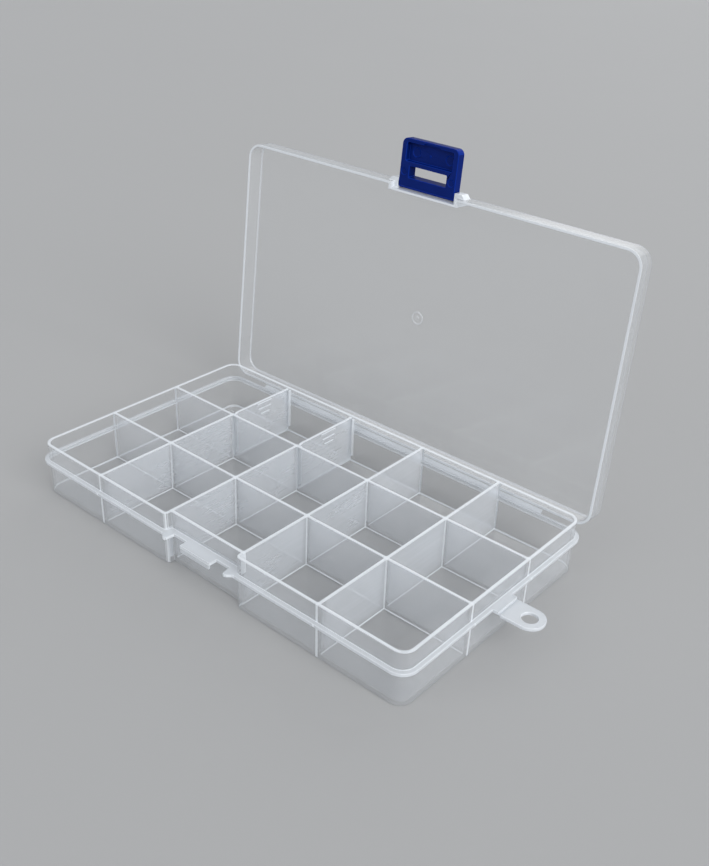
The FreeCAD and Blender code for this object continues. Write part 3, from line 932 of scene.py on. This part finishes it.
def film(name, body_b, nodes, profile, along):
    """A thin strip through profile points across the fold, drawn out along one direction."""
    low, high = along
    axis = 0 if body_b == "lid" else 1
    bpy.ops.object.select_all(action="DESELECT")
    bpy.ops.mesh.primitive_plane_add(size=1)
    piece = bpy.context.object
    piece.name = name
    mesh = piece.data
    mesh.clear_geometry()
    corners = []
    for side in (low, high):
        for place in profile:
            point = [side, *place] if axis == 0 else [place[0], side, place[1]]
            corners.append(point)
    count = len(profile)
    faces = [list(range(count)), list(range(2 * count - 1, count - 1, -1))]
    faces += [[number, number + count, (number + 1) % count + count, (number + 1) % count]
              for number in range(count)]
    mesh.from_pydata(corners, [], faces)
    with editing(piece, "FACE"):
        bpy.ops.mesh.select_all(action="SELECT")
        bpy.ops.mesh.normals_make_consistent(inside=False)
    measure_haze(piece, even_haze(settings().solid_haze))
    hand_over(piece, None, "clear_plastic", *nodes)
    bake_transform(piece)
    return piece


def strip_profile(start, end, thickness, thin, count=12):
    """Points round a strip from start to end whose middle is thinned to a fold."""
    start = Vector(start)
    end = Vector(end)
    across = (end - start).orthogonal().normalized()
    upper = []
    lower = []
    for number in range(count + 1):
        share = number / count
        dip = math.exp(-((share - 0.5) / 0.16) ** 2)
        half = (thickness + (thin - thickness) * dip) / 2
        middle = start.lerp(end, share)
        upper.append(middle + across * half)
        lower.append(middle - across * half)
    return [tuple(place) for place in upper + lower[::-1]]


class STORAGEBOX_OT_folds(bpy.types.Operator):
    """Model the film hinge behind the tray and the fold line of the hang tab"""
    bl_idname = "storage_box.folds"
    bl_label = "Film hinge and fold"

    def execute(self, context):
        low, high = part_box("hinge_web")
        start = (low.y, low.z + 0.25 * MM)
        end = (high.y + 0.05 * MM, high.z - 0.25 * MM)
        profile = strip_profile(start, end, 0.5 * MM, 0.28 * MM)
        film("hinge_film", "lid", ["hinge_web"], profile, (low.x, high.x))
        level = TAB[1].z - 0.35 * MM
        fold_start = (TAB_ROOT[1].x - 0.05 * MM, level)
        fold_end = (TAB[0].x + 0.05 * MM, level)
        profile = strip_profile(fold_start, fold_end, 0.5 * MM, 0.3 * MM, 8)
        film("tab_fold_film", "hang_tab", [], profile, (TAB[0].y + 0.1 * MM, TAB[1].y - 0.1 * MM))
        return {"FINISHED"}


# Hang tab

HOLE_RADIUS = 2.7 * MM


class STORAGEBOX_OT_hang_tab(bpy.types.Operator):
    """Model the hang tab with its round end and its hole"""
    bl_idname = "storage_box.hang_tab"
    bl_label = "Hang tab"

    def execute(self, context):
        low, high = TAB
        radius = (high.y - low.y) / 2 - SNUG
        centre = Vector((high.x - radius, (low.y + high.y) / 2, 0))
        tab = block("hang_loop", low, high)
        round_upright(tab, [(high.x, low.y), (high.x, high.y)], radius, 20)
        hole = rod("cutter", centre + Vector((0, 0, low.z - ROOM)), centre + Vector((0, 0, high.z + ROOM)),
                   HOLE_RADIUS, 48)
        carve(tab, hole)
        soften(tab, 0.3 * MM, 3)
        measure_haze(tab, even_haze(settings().solid_haze))
        hand_over(tab, "hang_tab", "clear_plastic", "hang_tab")
        return {"FINISHED"}


# Lift-out dividers

GRIP_BARS = ((1.0, 12.3, 20.4), (3.4, 13.1, 20.0), (5.7, 14.2, 19.2))  # depth, start and end in millimetres
GRIP_BAR_HALF = 0.35 * MM


class STORAGEBOX_OT_dividers(bpy.types.Operator):
    """Model the two lift-out dividers with their grip bars"""
    bl_idname = "storage_box.dividers"
    bl_label = "Dividers"

    def execute(self, context):
        for number in (1, 2):
            node = f"divider_{number}"
            low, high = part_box(node)
            plate = block(f"{node}_plate", low, high)
            front_top = (low.y, high.z)
            bevel_edges(plate, lambda edge: all(
                abs(vertex.co.y - front_top[0]) < SNUG and abs(vertex.co.z - front_top[1]) < SNUG
                for vertex in edge.verts), 2.0 * MM, 6)
            bars = []
            for depth, start, end in GRIP_BARS:
                level = high.z - depth * MM
                bars.append(block("bar", (high.x - 0.2 * MM, low.y + start * MM, level - GRIP_BAR_HALF),
                                  (high.x + 0.25 * MM, low.y + end * MM, level + GRIP_BAR_HALF)))
            unite(plate, *bars)
            soften(plate, 0.18 * MM)
            measure_haze(plate, even_haze(settings().wall_haze))
            hand_over(plate, node, "clear_plastic", node)
        return {"FINISHED"}


# Latch

class STORAGEBOX_OT_latch(bpy.types.Operator):
    """Model the snap latch with its pins, window and finger pocket"""
    bl_idname = "storage_box.latch"
    bl_label = "Latch"

    def execute(self, context):
        pin = 1.45 * MM
        half = BLADE[1].x - pin
        tip = BLADE[0].y
        under = BLADE[0].z
        top = BLADE[1].z
        latch = block("snap_latch", (-half, tip, under), (half, PIVOT.y, top))
        round_upright(latch, [(-half, tip), (half, tip)], 2.2 * MM, 8)
        knuckle = rod("knuckle", (-half, PIVOT.y, PIVOT.z), (half, PIVOT.y, PIVOT.z), (top - under) / 2, 40)
        pins = rod("pins", (-BLADE[1].x, PIVOT.y, PIVOT.z), (BLADE[1].x, PIVOT.y, PIVOT.z), 0.95 * MM, 24)
        unite(latch, knuckle, pins)
        window = self.opening(8.45, 2.65, 7.1, under - 0.5 * MM, top + 0.5 * MM)
        round_upright(window, self.corners(8.45, 2.65, 7.1), 0.35 * MM, 3)
        draw_in(window, top + 0.5 * MM, 0.65 * MM)
        pocket = self.opening(10.4, 8.6, 15.35, under - ROOM, under + 2.0 * MM)
        round_upright(pocket, self.corners(10.4, 8.6, 15.35), 0.6 * MM, 4)
        carve(latch, window, pocket)
        step = block("cutter", (-3.0 * MM, PIVOT.y - 15.95 * MM, under - ROOM),
                     (4.5 * MM, PIVOT.y - 15.0 * MM, under + 0.9 * MM))
        carve(latch, step)
        nib = rod("nib", (-MM, PIVOT.y - 11.6 * MM, under + 1.75 * MM), (-MM, PIVOT.y - 11.6 * MM, top - MM), 0.35 * MM, 16)
        unite(latch, nib)
        marks = []
        for x, away, radius, level in ((-10.5, 4.65, 1.3, under), (10.5, 4.65, 1.3, under),
                                       (-7.2, 11.9, 1.7, under + 2.0 * MM), (7.6, 11.9, 1.7, under + 2.0 * MM)):
            place = Vector((x * MM, PIVOT.y - away * MM, level))
            marks.append(rod("cutter", place + Vector((0, 0, -0.9 * MM)), place + Vector((0, 0, 0.12 * MM)), radius * MM, 32))
        carve(latch, *marks)
        soften(latch, 0.22 * MM, 3)
        # The edge attribute marks the rounded faces, which the blue finish paints paler as a highlight.
        edges = latch.data.attributes.new("edge", "FLOAT", "FACE")
        edges.data.foreach_set("value", [float(max(map(abs, face.normal)) < ROUNDED[1])
                                         for face in latch.data.polygons])
        swing_open(latch)
        hand_over(latch, "latch", "blue_plastic", "latch")
        return {"FINISHED"}

    @staticmethod
    def opening(half, start, end, low, high):
        """A cutter between two distances from the pivot, in millimetres."""
        return block("cutter", (-half * MM, PIVOT.y - end * MM, low), (half * MM, PIVOT.y - start * MM, high))

    @staticmethod
    def corners(half, start, end):
        return [(x * half * MM, PIVOT.y - y * MM) for x in (-1, 1) for y in (start, end)]


# Stage

CAMERA_PLACE = Vector((0.227304, -0.243298, 0.227735))
CAMERA_AZIMUTH = 39.399
CAMERA_ELEVATION = 27.189
CAMERA_ROLL = 2.621
FOCAL_PIXELS = 1087.865
CENTRE_PIXEL = (364.808, 390.979)
PHOTO_WIDTH = 709
PHOTO_HEIGHT = 866
FILM_HEIGHT = 36.0
FLOOR_DROP = 0.05 * MM  # keeps the floor from lying in one plane with the underside of the box


def camera():
    """A camera at the photograph's viewing angle."""
    bpy.ops.object.select_all(action="DESELECT")
    bpy.ops.object.camera_add(location=CAMERA_PLACE)
    made = bpy.context.object
    made.name = "view"
    azimuth = math.radians(CAMERA_AZIMUTH)
    elevation = math.radians(CAMERA_ELEVATION)
    roll = math.radians(CAMERA_ROLL)
    ahead = Vector((-math.sin(azimuth) * math.cos(elevation), math.cos(azimuth) * math.cos(elevation),
                    -math.sin(elevation)))
    right = ahead.cross(Vector((0, 0, 1))).normalized()
    up = right.cross(ahead)
    image_right = right * math.cos(roll) + up * math.sin(roll)
    image_up = up * math.cos(roll) - right * math.sin(roll)
    made.matrix_world = Matrix((
        (image_right.x, image_up.x, -ahead.x, CAMERA_PLACE.x),
        (image_right.y, image_up.y, -ahead.y, CAMERA_PLACE.y),
        (image_right.z, image_up.z, -ahead.z, CAMERA_PLACE.z),
        (0, 0, 0, 1)))
    lens = made.data
    lens.sensor_width = FILM_HEIGHT
    lens.lens = FOCAL_PIXELS / PHOTO_HEIGHT * FILM_HEIGHT
    lens.shift_x = -(CENTRE_PIXEL[0] - PHOTO_WIDTH / 2) / PHOTO_HEIGHT
    lens.shift_y = (CENTRE_PIXEL[1] - PHOTO_HEIGHT / 2) / PHOTO_HEIGHT
    lens.clip_start = 0.01
    lens.clip_end = 50
    bpy.context.scene.camera = made


def soft_sun(name, direction, spread, strength):
    """Even light from a wide, far softbox that shines from the given direction."""
    bpy.ops.object.select_all(action="DESELECT")
    bpy.ops.object.light_add(type="SUN", location=direction)
    made = bpy.context.object
    made.name = name
    made.data.angle = math.radians(spread)
    made.data.energy = strength
    made.rotation_euler = (-Vector(direction)).to_track_quat("-Z", "Y").to_euler()


class STORAGEBOX_OT_stage(bpy.types.Operator):
    """Set up the plain floor, the soft studio light and the camera"""
    bl_idname = "storage_box.stage"
    bl_label = "Stage"

    def execute(self, context):
        bpy.ops.object.select_all(action="DESELECT")
        bpy.ops.mesh.primitive_plane_add(size=60, location=(0, 0, -FLOOR_DROP))
        floor = settle(context.object)
        floor.name = "floor"
        floor.data.materials.append(material("plain_floor"))
        world = context.scene.world or bpy.data.worlds.new("studio")
        context.scene.world = world
        world.use_nodes = True
        background = world.node_tree.nodes["Background"]
        background.inputs["Color"].default_value = (0.93, 0.96, 1.0, 1)
        background.inputs["Strength"].default_value = 0.6
        soft_sun("key", (1.0, -0.2, 0.6), 40, 2.2)
        soft_sun("fill", (-0.3, -1.0, 0.5), 50, 0.7)
        soft_sun("back", (-0.2, 1.0, 0.5), 50, 0.5)
        camera()
        context.scene.view_settings.view_transform = "Standard"
        context.scene.cycles.transparent_max_bounces = 48
        return {"FINISHED"}


class STORAGEBOX_PT_pieces(bpy.types.Panel):
    """Settings and pieces of the storage box"""
    bl_label = "Storage Box"
    bl_idname = "STORAGEBOX_PT_pieces"
    bl_space_type = "VIEW_3D"
    bl_region_type = "UI"
    bl_category = "Storage Box"

    def draw(self, context):
        column = self.layout.column()
        for name in StorageBoxSettings.__annotations__:
            column.prop(context.scene.storage_box, name)
        for operator in OPERATORS:
            column.operator(operator.bl_idname)


OPERATORS = (
    STORAGEBOX_OT_stage,
    STORAGEBOX_OT_tray,
    STORAGEBOX_OT_lid,
    STORAGEBOX_OT_folds,
    STORAGEBOX_OT_hang_tab,
    STORAGEBOX_OT_dividers,
    STORAGEBOX_OT_latch,
)
CLASSES = (StorageBoxSettings, *OPERATORS, STORAGEBOX_PT_pieces)


def register():
    for item in CLASSES:
        bpy.utils.register_class(item)
    bpy.types.Scene.storage_box = bpy.props.PointerProperty(type=StorageBoxSettings)


def unregister():
    del bpy.types.Scene.storage_box
    for item in reversed(CLASSES):
        bpy.utils.unregister_class(item)


def main():
    register()
    bpy.ops.storage_box.stage()
    bpy.ops.storage_box.tray()
    bpy.ops.storage_box.lid()
    bpy.ops.storage_box.folds()
    bpy.ops.storage_box.hang_tab()
    bpy.ops.storage_box.dividers()
    bpy.ops.storage_box.latch()


if __name__ == "__main__":
    main()
